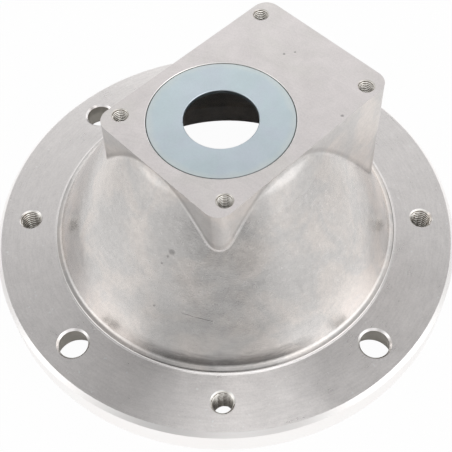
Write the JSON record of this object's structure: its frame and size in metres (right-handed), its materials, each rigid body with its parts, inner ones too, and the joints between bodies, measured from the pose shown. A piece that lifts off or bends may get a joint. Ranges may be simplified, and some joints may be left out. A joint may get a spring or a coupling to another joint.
{
  "type": "pump bell housing",
  "caption": "Conical cast bell housing that joins a gear pump to an electric motor: round motor flange, raised bolting pad and a steel centring ring for the pump's pilot.",
  "frame": {"origin": "centre of the motor flange's lower face, which is the face that meets the motor", "axes": "+Z along the shaft axis from the motor to the pump; X along the short side of the pump's bolt rectangle; +Y along its long side, towards the bolt row further from the shaft axis"},
  "size_m": [0.25, 0.25, 0.1025],
  "materials": {
    "cast_aluminium": "cast and tumbled to a blotchy satin, with the flange turned and the pad milled",
    "zinc_plated_steel": "bright zinc plating, satin, pale blue"
  },
  "bodies": {
    "root": {"housing": "cast_aluminium", "centring_ring": "zinc_plated_steel"}
  },
  "joints": []
}
